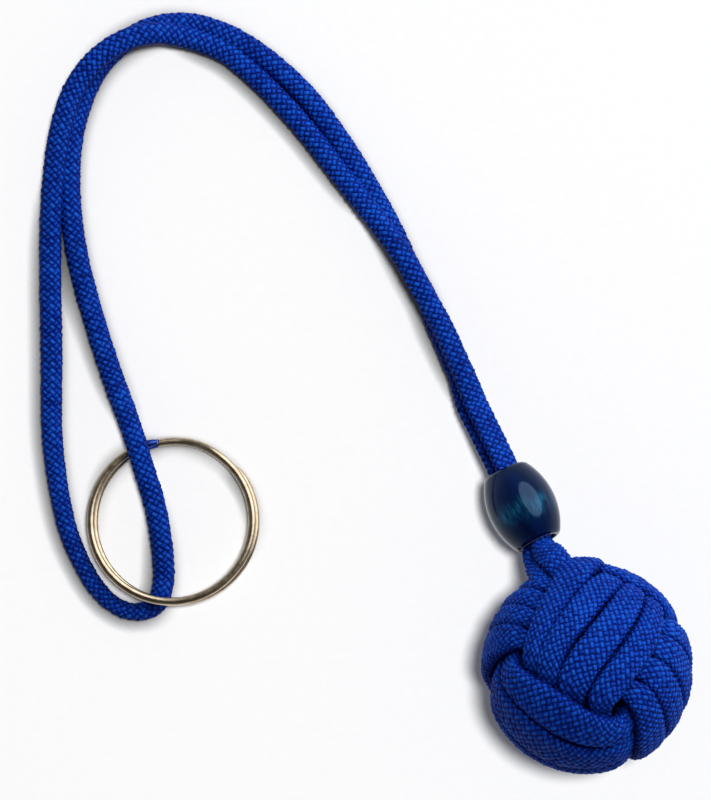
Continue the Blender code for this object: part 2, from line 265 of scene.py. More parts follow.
def wrapLevel(angle, offset):
    outermost = np.abs(offset) > fist["turns"] / 4
    sharpness = np.where(outermost, fist["outerDrop"][0], fist["innerDrop"][0])
    bias = np.where(outermost, fist["outerDrop"][1], fist["innerDrop"][1])
    share = np.tanh(sharpness * (np.cos(2 * angle) + bias)) / np.tanh(sharpness)
    return (fist["upper"] + fist["lower"]) / 2 + (fist["upper"] - fist["lower"]) / 2 * share


def turnSpacing(angle):
    fold = np.cos(2 * angle)
    face = fist["faceSpread"] * fist["upper"]
    under = fist["underSpread"] * fist["lower"]
    edge = fist["edgeSpread"] * (fist["upper"] + fist["lower"]) / 2
    spread = edge + (face - under) / 2 * fold + ((face + under) / 2 - edge) * fold * fold
    return np.radians(spread / fist["turns"])


def regularPoints(angle, offset, axes):
    # turned to lie as the knot lies, about its own centre
    top, under, side = axes
    level = wrapLevel(angle, offset)
    slip = offset * turnSpacing(angle) / level
    around = np.outer(np.cos(angle), top) + np.outer(np.sin(angle), under)
    points = around * np.cos(slip)[:, None] + np.outer(np.sin(slip), side)
    return (points * level[:, None]) @ fistTurn.T


def seenDirection(across, down, side="near"):
    # from the knot's centre to the point of its crown that lies at a pixel
    lens = np.array([*photo["over"], photo["height"]])
    aim = np.array([
        (across - photo["pixels"][0] / 2) / photo["pixelsPerMillimetre"] + photo["over"][0],
        (photo["pixels"][1] / 2 - down) / photo["pixelsPerMillimetre"] + photo["over"][1],
        0,
    ])
    ray, fromCentre = unit(aim - lens), lens - fistCentre
    nearest = fromCentre @ ray
    inside = nearest * nearest - fromCentre @ fromCentre + fist["crown"] ** 2
    reach = math.sqrt(max(inside, 0)) * (-1 if side == "far" else 1)
    return unit(fromCentre - ray * (nearest + reach))


def pullTable():
    marks, spots = [], []
    for setName, pulls in fist["pulls"].items():
        for line, degrees, *spot in pulls:
            angle = np.array([math.radians(degrees)])
            marks.append(unit(regularPoints(angle, np.array([float(line)]), wrapSets[setName]))[0])
            spots.append(seenDirection(*spot))
    for x, y in fist["farMarks"]:
        held = unit(np.array([x, y, -1.0]))
        marks.append(held)
        spots.append(held)
    marks, spots = np.array(marks), np.array(spots)
    near = closeness(marks, marks) + fist["pullSlack"] * np.eye(len(marks))
    return marks, np.linalg.solve(near, spots - marks)


def closeness(first, second):
    apart = ((first[:, None] - second[None]) ** 2).sum(-1)
    return np.exp(-apart / (2 * fist["pullReach"] ** 2))


pullMarks, pullStrength = pullTable()


def pulled(points):
    directions = unit(points)
    moved = unit(directions + closeness(directions, pullMarks) @ pullStrength)
    return moved * np.linalg.norm(points, axis=1, keepdims=True) * fist["swell"]


def evenly(values, step):
    # values has x, y, z first, and the rest is carried along
    gaps = np.linalg.norm(np.diff(values[:, :3], axis=0), axis=1)
    reached = np.concatenate([[0], np.cumsum(gaps)])
    wanted = np.linspace(0, reached[-1], max(2, round(reached[-1] / step)))
    return np.column_stack([np.interp(wanted, reached, column) for column in values.T])


def layPath(values, upHint, corner, columns):
    # columns of values: x, y, z, width, thickness, pick, roll
    points = values[:, :3]
    gaps = np.linalg.norm(np.diff(points, axis=0), axis=1)
    along = unit(np.gradient(points, axis=0))
    up = unit(upHint - along * np.sum(along * upHint, axis=1, keepdims=True))
    side = np.cross(along, up)
    turn = np.radians(values[:, 6])[:, None]
    picks = np.concatenate([[0], np.cumsum(gaps / (values[1:, 5] + values[:-1, 5]) * 2)])
    return {
        "points": points,
        "distance": np.concatenate([[0], np.cumsum(gaps)]),
        "side": side * np.cos(turn) + up * np.sin(turn),
        "up": up * np.cos(turn) - side * np.sin(turn),
        "width": values[:, 3],
        "thickness": values[:, 4],
        "pick": values[:, 5],
        "picks": picks,          # how many stitches lie behind each point
        "corner": corner,
        "columns": columns,
    }


def smoothRoute(values, steps=12):
    # a smooth curve through the chosen points, in the first three columns
    spots = values[:, :3]
    chords = [spots[1] - spots[0], spots[2:] - spots[:-2], spots[-1] - spots[-2]]
    tangents = unit(np.vstack(chords))
    rows = []
    for index in range(len(values) - 1):
        a, d = spots[index], spots[index + 1]
        reach = np.linalg.norm(d - a) / 3
        b, c = a + tangents[index] * reach, d - tangents[index + 1] * reach
        for t in np.arange(steps) / steps:
            spot = (
                a * (1 - t) ** 3 + 3 * b * t * (1 - t) ** 2
                + 3 * c * t * t * (1 - t) + d * t ** 3
            )
            rest = values[index, 3:] * (1 - t) + values[index + 1, 3:] * t
            rows.append(np.concatenate([spot, rest]))
    rows.append(values[-1])
    return np.array(rows)


def soften(column, reach):
    # running mean with the ends held
    kernel = np.hanning(2 * reach + 3)[1:-1]
    return np.convolve(np.pad(column, reach, mode="edge"), kernel / kernel.sum(), mode="valid")


def beadAxes():
    heading, tilt = math.radians(bead["heading"]), math.radians(bead["tilt"])
    along = np.array([
        math.cos(heading) * math.cos(tilt),
        math.sin(heading) * math.cos(tilt),
        -math.sin(tilt),
    ])
    across = np.array([math.sin(heading), -math.cos(heading), 0.0])
    return across, np.cross(across, along), along


def strandPoint(side, distance):
    across, up, along = beadAxes()
    lean = math.radians(bead["pairLean"])
    aside = (across * math.cos(lean) + up * math.sin(lean)) * bead["pairDistance"] / 2 * side
    return np.array(bead["centre"]) + along * distance + aside


def squeezedStrand(side, places):
    # x, y, z, width, thickness, pick, roll, how far its flat follows the knot
    upwards = 1 if places[-1] > places[0] else -1
    lean = (bead["pairLean"] - 90) * upwards
    pick = cord["pick"] * bead["pickShare"]
    rest = [bead["strandWidth"], bead["strandThickness"], pick, lean, 0]
    return [[*strandPoint(side, place), *rest] for place in places]


def smoothStrand(rows):
    values = evenly(smoothRoute(np.array(rows, float)), cord["step"])
    for column in range(3, 8):
        values[:, column] = soften(values[:, column], cord["soften"])
    values[:, 2] = np.maximum(values[:, 2], values[:, 4] / 2)
    follow = values[:, 7:8]
    hint = unit(values[:, :3] - fistCentre) * follow + np.array([0, 0, 1.0]) * (1 - follow)
    return values[:, :7], hint


def loopPath():
    far = bead["length"] / 2 + bead["travel"]
    stretch = [bead["joinAt"], (bead["joinAt"] + far) / 2, far, far + bead["spare"]]
    rows = squeezedStrand(1, stretch)
    for number, (x, y, under) in enumerate(cord["loop"]):
        z = (under + 0.5) * cord["diameter"]
        width = cord["edgewise"].get(number, cord["width"])
        rows.append([x, y, z, width, cord["thickness"], cord["pick"], 0, 0])
    rows += squeezedStrand(-1, stretch[::-1])
    values, hint = smoothStrand(rows)
    return layPath(values, hint, cord["corner"], cord["columns"])


def knotRows(name):
    return [
        [x, y, z, width, thickness, fist["pick"], roll, follow]
        for x, y, z, width, thickness, follow, roll in fist[name]
    ]


def neckRows(side, name):
    near = -bead["length"] / 2
    rows = squeezedStrand(side, [bead["joinAt"], 0, near, near - bead["pastMouth"]])
    if side > 0:
        for row in rows:
            row[3] = bead["mouthWidth"]
        for row in rows[2:]:
            row[:3] = np.array(row[:3]) + beadAxes()[0] * bead["mouthShift"]
    return rows + knotRows(name)


def wrapPath(setName, start, lead=None):
    end = 270 - fist["stepHalfAngle"] + 360 * (fist["turns"] - 1)
    angle = np.radians(np.linspace(start, end, fist["samples"]))
    regular = regularPoints(angle, turnOffset(angle), wrapSets[setName])
    along = unit(np.gradient(regular, axis=0))
    sideways = np.cross(along, unit(regular))
    slant = np.sqrt(1 - (along @ (fistTurn @ wrapSets[setName][2])) ** 2)
    half = (turnSpacing(angle) * slant / 2)[:, None]
    points = pulled(regular)
    edges = pulled(regular + sideways * half), pulled(regular - sideways * half)
    width = np.linalg.norm(edges[0] - edges[1], axis=1)
    onFace = np.abs(np.cos(2 * angle))
    width = width + fist["overlap"][0] * onFace + fist["overlap"][1] * (1 - onFace)
    count = len(angle)
    values = evenly(np.column_stack([
        points + fistCentre, width, np.full(count, fist["wrap"]), np.full(count, fist["pick"]),
        np.zeros(count), angle,
    ]), cord["step"])
    hint, angle = unit(values[:, :3] - fistCentre), values[:, 7]
    if lead:
        joint = [[*values[row, :7], 1] for row in fist["seamRows"]]
        lead, leadHint = smoothStrand(lead + joint)
        cut = np.linalg.norm(lead[:, :3] - values[0, :3], axis=1).argmin()
        values = np.vstack([lead[:cut], values[:, :7]])
        hint = np.vstack([leadHint[:cut], hint])
        angle = np.concatenate([np.full(cut, angle[0]), angle])
        for column in range(3, 7):
            values[:, column] = soften(values[:, column], cord["soften"])
        hint = unit(np.column_stack([soften(c, fist["seamSoften"]) for c in hint.T]))
    path = layPath(values[:, :7], hint, fist["corner"], fist["columns"])
    path["angle"] = angle
    return path


# braided sheath: every stitch is its own small pillow
braid = {
    "relief": 0.36,         # mm from the gaps to the top of a stitch
    "cuts": (-1.0, -0.60, 0.0, 0.60, 1.0),
    "alongHeights": (0.10, 0.82, 1.0, 0.82, 0.10),
    "acrossHeights": (0.06, 0.76, 1.0, 0.76, 0.06),
    "reach": 0.64,          # half its length, and its ends go under the neighbours
    "half": 0.44,           # half its breadth
    "phases": (0.25, 0.75),     # yarns of the two directions take turns along the cord
    "wobble": 0.045,        # how uneven the stitches are in place, size and height
    "sizeSpread": 0.08,
    "plumpSpread": 0.12,
    "coreSides": 20,
    "coreStep": 0.9,        # mm
    "coreDepth": 0.82,      # of the relief
    "grooveShadeFacing": 0.60,     # parts that face up by less than this lie in the groove between turns, and get painted shade
    # the bake's map: margin and size of a stitch in its cell, height of all the cells, and
    # foot and height of the tube's strip
    "cell": (0.08, 0.84),
    "cellsHeight": 0.9,
    "tubeStrip": (0.92, 0.07),
    # steps of the tables that spread the stitches evenly round any section
    "flattest": 0.3,
    "ratioSteps": 29,
    "outlineSteps": 2049,
    "shareSteps": 513,
}


def roundedSection(turn, width, thickness, corner):
    c, s = np.cos(turn), np.sin(turn)
    x = np.sign(c) * np.abs(c) ** (2 / corner) * width / 2
    y = np.sign(s) * np.abs(s) ** (2 / corner) * thickness / 2
    return x, y


def sectionTable(corner):
    # angle on the section for each share of its outline, from flat to round
    ratios = np.linspace(braid["flattest"], 1.0, braid["ratioSteps"])
    turn = np.linspace(0, math.tau, braid["outlineSteps"])
    shares = np.linspace(0, 1, braid["shareSteps"])
    table = []
    for ratio in ratios:
        x, y = roundedSection(turn, 1.0, ratio, corner)
        arc = np.concatenate([[0], np.cumsum(np.hypot(np.diff(x), np.diff(y)))])
        table.append(np.interp(shares, arc / arc[-1], turn))
    return ratios, np.array(table)


sectionTables = {corner: sectionTable(corner) for corner in (cord["corner"], fist["corner"])}


def onSheath(path, distance, share, lift):
    # a point over the cord's surface, and how far that part of it faces up
    def at(key):
        values = path[key]
        if values.ndim == 1:
            return np.interp(distance, path["distance"], values)
        return np.stack([np.interp(distance, path["distance"], c) for c in values.T], -1)

    ratios, table = sectionTables[path["corner"]]
    width, thickness = at("width"), at("thickness")
    row = np.interp(thickness / width, ratios, np.arange(len(ratios)))
    column = np.mod(share, 1.0) * (table.shape[1] - 1)
    r = np.minimum(row.astype(int), len(ratios) - 2)
    c = np.minimum(column.astype(int), table.shape[1] - 2)
    downRow, alongColumn = row - r, column - c
    turn = (
        (table[r, c] * (1 - alongColumn) + table[r, c + 1] * alongColumn) * (1 - downRow)
        + (table[r + 1, c] * (1 - alongColumn) + table[r + 1, c + 1] * alongColumn) * downRow
    )
    x, y = roundedSection(turn, width, thickness, path["corner"])
    power = path["corner"] - 1
    nx = np.sign(x) * np.abs(2 * x / width) ** power / width
    ny = np.sign(y) * np.abs(2 * y / thickness) ** power / thickness
    long = np.hypot(nx, ny)
    nx, ny = nx / long, ny / long
    side, up = unit(at("side")), unit(at("up"))
    spot = at("points") + side * (x + nx * lift)[..., None] + up * (y + ny * lift)[..., None]
    return spot, ny


def braidedPiece(name, path, material, seed, keep=None):
    rng = np.random.default_rng(seed)
    columns = path["columns"]
    length = path["distance"][-1]
    stitches = np.arange(-1, int(path["picks"][-1]) + 2)
    column, stitch = np.meshgrid(np.arange(columns), stitches, indexing="ij")
    column, stitch = column.ravel(), stitch.ravel()
    lean = np.where(column % 2 == 0, 1, -1)
    count = stitch + np.where(column % 2 == 0, *braid["phases"])
    inside = (count > 0) & (count < path["picks"][-1])
    column, lean, count = column[inside], lean[inside], count[inside]
    middle = np.interp(count, path["picks"], path["distance"])
    if keep is not None:
        _, facing = onSheath(path, middle, (column + 0.5) / columns, 0 * middle)
        kept = keep(middle, facing)
        column, lean, middle = column[kept], lean[kept], middle[kept]
    # yarns cross at a slant, and each stitch is a square of one of them
    pick = np.interp(middle, path["distance"], path["pick"])[:, None, None]
    cuts = np.array(braid["cuts"])
    x, across = np.meshgrid(cuts, cuts, indexing="ij")
    rise = np.outer(braid["alongHeights"], braid["acrossHeights"])
    shape = (len(column), *x.shape)
    wobble = rng.normal(0, braid["wobble"], (len(column), 1, 1))
    size = 1 + rng.normal(0, braid["sizeSpread"], (len(column), 1, 1))
    ahead, aside = x * braid["reach"] * size, across * braid["half"] * size
    distance = middle[:, None, None] + pick * (lean[:, None, None] * (ahead - aside) / 2 + wobble)
    share = (column[:, None, None] + 0.5 + ahead + aside) / columns
    plump = 1 + rng.normal(0, braid["plumpSpread"], (len(column), 1, 1))
    lift = braid["relief"] * (rise * plump - 1)
    spots, facing = onSheath(path, np.clip(distance, 0, length), share, lift)
    total = len(column) * x.size
    corners = np.arange(total).reshape(shape)
    quads = np.stack([
        corners[:, :-1, :-1], corners[:, 1:, :-1], corners[:, 1:, 1:], corners[:, :-1, 1:],
    ], -1)
    quads[lean < 0] = quads[lean < 0][..., ::-1]

    # dark inner tube, so that nothing shows through between the stitches; it has the painted shade
    # of the gaps
    stations = np.linspace(0, length, max(2, int(length / braid["coreStep"])))
    d, s = np.meshgrid(stations, np.arange(braid["coreSides"]) / braid["coreSides"], indexing="ij")
    tube, _ = onSheath(path, d, s, np.full(d.shape, -braid["coreDepth"] * braid["relief"]))
    index = np.arange(d.size).reshape(d.shape) + total
    following = np.roll(index, -1, axis=1)
    tubeQuads = np.stack([index[:-1], index[1:], following[1:], following[:-1]], -1).reshape(-1, 4)
    caps = [index[0], index[-1][::-1]]

    def overStitches(values):
        # the tube has none of it
        return np.concatenate([np.broadcast_to(values, shape).ravel(), np.zeros(d.size)])

    perPoint = {
        "tint": overStitches(rng.normal(0, 1, len(column))[:, None, None]),
        "height": overStitches(rise),
        "across": overStitches(across),
        "slant": overStitches(lean[:, None, None]),
        # painted shade on the sides of each turn, in the groove between turns
        "grooveShade": overStitches(np.clip(1 - np.abs(facing) / braid["grooveShadeFacing"], 0, 1)),
    }
    # in the bake's map each stitch has its own cell, and the tube the strip above them
    wide = math.ceil(math.sqrt(len(column)))
    cell = np.arange(len(column))[:, None, None]
    margin, fill = braid["cell"]
    u = (cell % wide + margin + fill * (x + 1) / 2) / wide
    v = (cell // wide + margin + fill * (across + 1) / 2) / wide * braid["cellsHeight"]
    foot, tall = braid["tubeStrip"]
    tubePlaces = np.stack([d.ravel() / length, foot + tall * s.ravel()], -1)
    mapPlaces = np.vstack([np.stack([u.ravel(), v.ravel()], -1), tubePlaces])
    points = np.vstack([spots.reshape(-1, 3), tube.reshape(-1, 3)]) * mm
    quadSets = [quads.reshape(-1, 4), tubeQuads]
    print(name, len(column), "stitches,", round(length, 1), "mm of cord")
    return meshPiece(name, points, quadSets, caps, material, mapPlaces, perPoint)


def meshPiece(name, points, quadSets, caps, material, mapPlaces=None, perPoint=None):
    quads = np.vstack(quadSets)
    mesh = bpy.data.meshes.new(name)
    loops = np.concatenate([quads.ravel()] + [np.asarray(cap) for cap in caps]).astype(np.int32)
    sizes = np.concatenate([np.full(len(quads), 4), [len(cap) for cap in caps]]).astype(np.int32)
    mesh.vertices.add(len(points))
    mesh.vertices.foreach_set("co", np.ascontiguousarray(points, np.float32).ravel())
    mesh.loops.add(len(loops))
    mesh.loops.foreach_set("vertex_index", loops)
    mesh.polygons.add(len(sizes))
    mesh.polygons.foreach_set("loop_start", (np.cumsum(sizes) - sizes).astype(np.int32))
    if mapPlaces is not None:
        layer = mesh.uv_layers.new(name="OFBake")
        layer.data.foreach_set("uv", mapPlaces[loops].astype(np.float32).ravel())
    for key, values in (perPoint or {}).items():
        store = mesh.attributes.new(key, "FLOAT", "POINT")
        store.data.foreach_set("value", np.ascontiguousarray(values, np.float32))
    mesh.update(calc_edges=True)
    mesh.shade_smooth()
    mesh.materials.append(material)
    piece = bpy.data.objects.new(name, mesh)
    bpy.context.scene.collection.objects.link(piece)
    return piece


def newFinish(name):
    material = bpy.data.materials.new(name)
    material.use_nodes = True
    return material, material.node_tree, material.node_tree.nodes["Principled BSDF"]


def readAttribute(tree, name):
    node = tree.nodes.new("ShaderNodeAttribute")
    node.attribute_name = name
    return node.outputs["Fac"]


def sums(tree, operation, *values):
    node = tree.nodes.new("ShaderNodeMath")
    node.operation = operation
    for socket, value in zip(node.inputs, values):
        if isinstance(value, (int, float)):
            socket.default_value = value
        else:
            tree.links.new(value, socket)
    return node.outputs[0]


def grain(tree, scale, detail=2.0, stretch=(1, 1, 1)):
    place = tree.nodes.new("ShaderNodeTexCoord")
    mapping = tree.nodes.new("ShaderNodeMapping")
    mapping.inputs["Scale"].default_value = stretch
    noise = tree.nodes.new("ShaderNodeTexNoise")
    noise.inputs["Scale"].default_value = scale
    noise.inputs["Detail"].default_value = detail
    tree.links.new(place.outputs["Object"], mapping.inputs["Vector"])
    tree.links.new(mapping.outputs[0], noise.inputs["Vector"])
    return noise.outputs["Fac"]


def ramp(tree, value, stops):
    node = tree.nodes.new("ShaderNodeValToRGB")
    elements = node.color_ramp.elements
    while len(elements) < len(stops):
        elements.new(0.5)
    for element, (place, colour) in zip(elements, stops):
        element.position = place
        element.color = (*colour, 1)
    tree.links.new(value, node.inputs[0])
    return node.outputs[0]


def blendColours(tree, share, first, second):
    node = tree.nodes.new("ShaderNodeMix")
    node.data_type = "RGBA"
    tree.links.new(share, node.inputs["Factor"])
    for socket, value in ((node.inputs[6], first), (node.inputs[7], second)):
        if isinstance(value, tuple):
            socket.default_value = (*value, 1)
        else:
            tree.links.new(value, socket)
    return node.outputs[2]


def addBump(tree, shader, height, depth, strength):
    bump = tree.nodes.new("ShaderNodeBump")
    bump.inputs["Strength"].default_value = strength
    bump.inputs["Distance"].default_value = depth * mm
    tree.links.new(height, bump.inputs["Height"])
    tree.links.new(bump.outputs[0], shader.inputs["Normal"])


nylon = {
    "colours": [            # from the painted shade of the gaps between the stitches up to their crests
        (0.05, (0.0003, 0.009, 0.135)),
        (0.6, (0.001, 0.030, 0.360)),
        (1.0, (0.008, 0.108, 0.650)),
    ],
    "filaments": 5.0,
    "waver": (900, 0.8),    # scale and size of the unevenness of the filaments
    "filamentShare": 0.09,
    "tintShare": 0.07,
    "slantSheenShare": 0.10,     # painted sheen: the yarns of one direction are painted paler than the others
    "grooveShadeShare": 0.50,
    "dye": (160, 0.35),
    "bump": (0.03, 0.35),   # mm deep, strength
    "roughness": 0.5,
    "specular": 0.06,
    "sheen": 0.02,
    "sheenRoughness": 0.4,
    "sheenTint": (0.2, 0.4, 1.0),
}


def nylonFinish():
    material, tree, shader = newFinish("braided royal blue nylon")
    height, tint, across, slant, grooveShade = (
        readAttribute(tree, key) for key in ("height", "tint", "across", "slant", "grooveShade")
    )
    # filaments run along each yarn, a little uneven
    scale, size = nylon["waver"]
    line = sums(tree, "MULTIPLY_ADD", across, nylon["filaments"], tint)
    line = sums(tree, "MULTIPLY_ADD", grain(tree, scale), size, line)
    line = sums(tree, "SINE", sums(tree, "MULTIPLY", line, math.pi))
    # the level runs from painted shade in the gaps up to the stitch crests
    level = sums(tree, "MULTIPLY_ADD", tint, nylon["tintShare"], height)
    level = sums(tree, "MULTIPLY_ADD", line, nylon["filamentShare"], level)
    # painted sheen: yarns of one direction come out paler
    level = sums(tree, "MULTIPLY_ADD", slant, nylon["slantSheenShare"], level)
    # painted shade: the sides of each turn come out darker in the grooves
    level = sums(tree, "MULTIPLY_ADD", grooveShade, -nylon["grooveShadeShare"], level)
    # and the dye is never quite even over a length of cord
    scale, size = nylon["dye"]
    dye = sums(tree, "SUBTRACT", grain(tree, scale), 0.5)
    level = sums(tree, "MULTIPLY_ADD", dye, size, level)
    tree.links.new(ramp(tree, level, nylon["colours"]), shader.inputs["Base Color"])
    addBump(tree, shader, line, *nylon["bump"])
    shader.inputs["Roughness"].default_value = nylon["roughness"]
    shader.inputs["Specular IOR Level"].default_value = nylon["specular"]
    shader.inputs["Sheen Weight"].default_value = nylon["sheen"]
    shader.inputs["Sheen Roughness"].default_value = nylon["sheenRoughness"]
    shader.inputs["Sheen Tint"].default_value = (*nylon["sheenTint"], 1)
    return material


def seen(path):
    # no stitches where nothing but the inside of the knot would see them
    def keep(distance, facing):
        fold = np.cos(2 * np.interp(distance, path["distance"], path["angle"]))
        return (facing > fist["facingLeast"]) & (fold > fist["foldLeast"])
    return keep


nylonMaterial = nylonFinish()
beneath = fist["stepHalfAngle"] - 90
loop = loopPath()
loopPiece = braidedPiece("braided_cord", loop, nylonMaterial, cord["seed"])
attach(loopPiece, "lanyard")
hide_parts("loop_cord")

wraps = {
    "first": wrapPath("first", fist["seam"], knotRows("shoulder")),
    "second": wrapPath("second", beneath),
    "third": wrapPath("third", beneath),
}
for seed, (setName, path) in enumerate(wraps.items(), fist["seed"]):
    piece = braidedPiece("braided_" + setName + "_wraps", path, nylonMaterial, seed, seen(path))
    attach(piece, "lanyard")
    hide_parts(setName + "_wraps")

# the two strands of the neck end inside the knot, the right one under the first turn
for pieceName, side, rowsName, node, seed in (
    ("braided_tail", -1, "leftNeck", "loop_cord", 17),
    ("braided_neck", 1, "rightNeck", "first_wraps", 19),
):
    neckValues, neckHint = smoothStrand(neckRows(side, rowsName))
    neck = layPath(neckValues, neckHint, cord["corner"], fist["neckColumns"])
    neckPiece = braidedPiece(pieceName, neck, nylonMaterial, seed)
    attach(neckPiece, "lanyard")
    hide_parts(node)


def beadProfile():
    half, bore = bead["length"] / 2, bead["bore"] / 2
    shoulder, belly, rim = bore + bead["endWall"], bead["belly"] / 2, bead["rim"]
    rise = belly - shoulder
    arcRadius = (half * half + rise * rise) / (2 * rise)
    lipTurns = [math.pi / 2 * step / bead["lipSteps"] for step in range(1, bead["lipSteps"])]
    profile = [(bore, z) for z in (0, half / 2, half - rim)]
    for turn in lipTurns:          # inner lip
        profile.append((bore + rim * (1 - math.cos(turn)), half - rim * (1 - math.sin(turn))))
    profile += [(bore + rim, half), (shoulder - rim, half)]
    for turn in lipTurns:          # outer lip
        fall = rim * (1 - math.cos(turn)) * bead["outerLip"]
        profile.append((shoulder - rim * (1 - math.sin(turn)), half - fall))
    for step in range(bead["sideSteps"] + 1):       # swelling side, down to the middle
        z = (half - rim * bead["sideTop"]) * (1 - step / bead["sideSteps"])
        profile.append((belly - arcRadius + math.sqrt(arcRadius ** 2 - z ** 2), z))
    mirrored = [(r, -z) for r, z in reversed(profile[1:-1])]
    return np.array(profile + mirrored)


def turnedPiece(name, profile, segments, material):
    turn = math.tau * np.arange(segments) / segments
    radius, z = profile[:, 0], profile[:, 1]
    points = np.stack([
        np.outer(np.cos(turn), radius),
        np.outer(np.sin(turn), radius),
        np.outer(np.ones(segments), z),
    ], -1)
    index = np.arange(segments * len(profile)).reshape(segments, len(profile))
    nextSegment, nextPoint = np.roll(index, -1, axis=0), np.roll(index, -1, axis=1)
    both = np.roll(nextSegment, -1, axis=1)
    quads = np.stack([index, nextPoint, both, nextSegment], -1).reshape(-1, 4)
    return meshPiece(name, points.reshape(-1, 3) * mm, [quads], [], material)


wood = {
    "fine": (3600, 3.0, (1, 1, 0.11)),      # scale, detail and stretch along the bead
    "broad": (330, 2.0, (1, 1, 0.5)),
    "stain": [(0.35, (0.0005, 0.003, 0.028)), (0.70, (0.0014, 0.009, 0.062))],
    "shimmer": (0.010, 0.190, 0.340),
    "shimmerWidth": 1.6,    # mm
    "shimmerPlace": 1.4,    # mm from the middle, towards the knot
    "streaks": [(0.36, (0.12, 0.12, 0.12)), (0.72, (1, 1, 1))],
    "patches": [(0.38, (0.15, 0.15, 0.15)), (0.58, (1, 1, 1))],
    "endGrain": (0.30, 0.24, 0.27),
    "endDepth": 0.03,       # mm
    "bump": (0.006, 0.12),
    "lacquer": (0.35, 0.62, 1.0),      # the clear coat over a blue stain reflects bluish
    "roughness": 0.11,
    "specular": 0.32,
}


def woodFinish():
    material, tree, shader = newFinish("stained and lacquered wood")
    fine, broad = grain(tree, *wood["fine"]), grain(tree, *wood["broad"])
    base = ramp(tree, broad, wood["stain"])
    place = tree.nodes.new("ShaderNodeTexCoord")
    split = tree.nodes.new("ShaderNodeSeparateXYZ")
    tree.links.new(place.outputs["Object"], split.inputs[0])
    # painted highlight: teal streaks in a band round the belly, where cut fibres catch the light
    z = sums(tree, "ADD", split.outputs[2], wood["shimmerPlace"] * mm)
    z = sums(tree, "DIVIDE", z, wood["shimmerWidth"] * mm)
    band = sums(tree, "EXPONENT", sums(tree, "MULTIPLY", sums(tree, "MULTIPLY", z, z), -1.0))
    streak = sums(tree, "MULTIPLY", ramp(tree, fine, wood["streaks"]), band)
    patch = ramp(tree, broad, wood["patches"])
    colour = blendColours(tree, sums(tree, "MULTIPLY", streak, patch), base, wood["shimmer"])
    # the stain is thin on the end faces
    endAt = (bead["length"] / 2 - wood["endDepth"]) * mm
    ends = sums(tree, "GREATER_THAN", sums(tree, "ABSOLUTE", split.outputs[2]), endAt)
    colour = blendColours(tree, ends, colour, wood["endGrain"])
    tree.links.new(colour, shader.inputs["Base Color"])
    addBump(tree, shader, fine, *wood["bump"])
    shader.inputs["Roughness"].default_value = wood["roughness"]
    shader.inputs["Specular IOR Level"].default_value = wood["specular"]
    shader.inputs["Specular Tint"].default_value = (*wood["lacquer"], 1)
    return material


def makeBead():
    piece = turnedPiece("turned_bead", beadProfile(), bead["segments"], woodFinish())
    across, up, along = (Vector(v) for v in beadAxes())
    place = Matrix((up, across, along)).transposed().to_4x4()
    piece.matrix_world = Matrix.Translation(Vector(bead["centre"]) * mm) @ place
    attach(piece, "bead")
    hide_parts("bead")


makeBead()
print("bead turned and lacquered")


# two turns of wire with one ramp between them, the first turn below and the second on it
ring = {
    "centre": (-39.2, 14.45),
    "diameter": 31.4,
    "wireWidth": 1.5,
    "wireHeight": 1.0,
    "coilGap": 0.12,
    "turnShift": 0.65,
    "lift": 4.45,           # it leans on the cord by this much
    "tiltHeading": 81.0,
    "cutAt": 42.0,
    "rampStart": 312.0,
    "rampEnd": 350.0,
    "travel": 662.0,        # degrees of wire in both turns together
    "station": 1.5,
    "sides": 24,
    "corner": 2.15,
    "filed": 2.0,           # mm over which a cut end narrows
    "filedShare": 0.45,
}


def makeRing():
    radius = (ring["diameter"] - ring["wireWidth"]) / 2
    travel = np.linspace(0, ring["travel"], round(ring["travel"] / ring["station"]) + 1)
    azimuth = np.radians(ring["cutAt"] - travel)
    raised = easeIn((travel - ring["rampStart"]) / (ring["rampEnd"] - ring["rampStart"]))
    outward = np.stack([np.cos(azimuth), np.sin(azimuth), 0 * azimuth], -1)
    centre = outward * radius
    centre[:, 0] += ring["turnShift"] * (0.5 - raised)
    centre[:, 2] += (ring["wireHeight"] + ring["coilGap"]) / 2 * (2 * raised - 1)
    turn = math.tau * np.arange(ring["sides"]) / ring["sides"]
    # each cut end is filed a little smaller
    ends = np.minimum(travel, ring["travel"] - travel) * math.pi / 180 * radius
    filed = 1 - ring["filedShare"] * np.clip(1 - ends / ring["filed"], 0, 1) ** 2
    x, y = roundedSection(turn, ring["wireWidth"], ring["wireHeight"], ring["corner"])
    points = (
        centre[:, None] + outward[:, None] * (x * filed[:, None])[..., None]
        + np.array([0, 0, 1.0]) * (y * filed[:, None])[..., None]
    )
    index = np.arange(points.shape[0] * points.shape[1]).reshape(points.shape[:2])
    following = np.roll(index, -1, axis=1)
    quads = np.stack([index[:-1], following[:-1], following[1:], index[1:]], -1).reshape(-1, 4)
    heading = math.radians(ring["tiltHeading"])
    tilt = math.asin(ring["lift"] / (ring["diameter"] - ring["wireWidth"]))
    lean = np.array(Matrix.Rotation(tilt, 3, Vector((-math.sin(heading), math.cos(heading), 0))))
    points = points.reshape(-1, 3) @ lean.T
    low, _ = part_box("split_ring")
    points += np.array([*ring["centre"], low[2] / mm - points[:, 2].min()])
    caps = [index[0][::-1], index[-1]]
    piece = meshPiece("nickel_split_ring", points * mm, [quads], caps, nickelFinish())
    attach(piece, "ring")
    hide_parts("split_ring")


nickel = {
    "wear": (700, 3.0),     # scale and detail
    "colours": [(0.35, (0.50, 0.40, 0.27)), (0.7, (0.70, 0.59, 0.43))],
    "roughness": (0.14, 0.28),
    "scratches": (2500, 2.0),
    "bump": (0.01, 0.15),
    # painted reflection of the blue cord, on the lower wire near the cut end
    "stain": (0.03, 0.07, 0.36),
    "cordReflectionAt": (-44.1, 28.9, 1.0),
    "cordReflectionReach": 2.15,
}


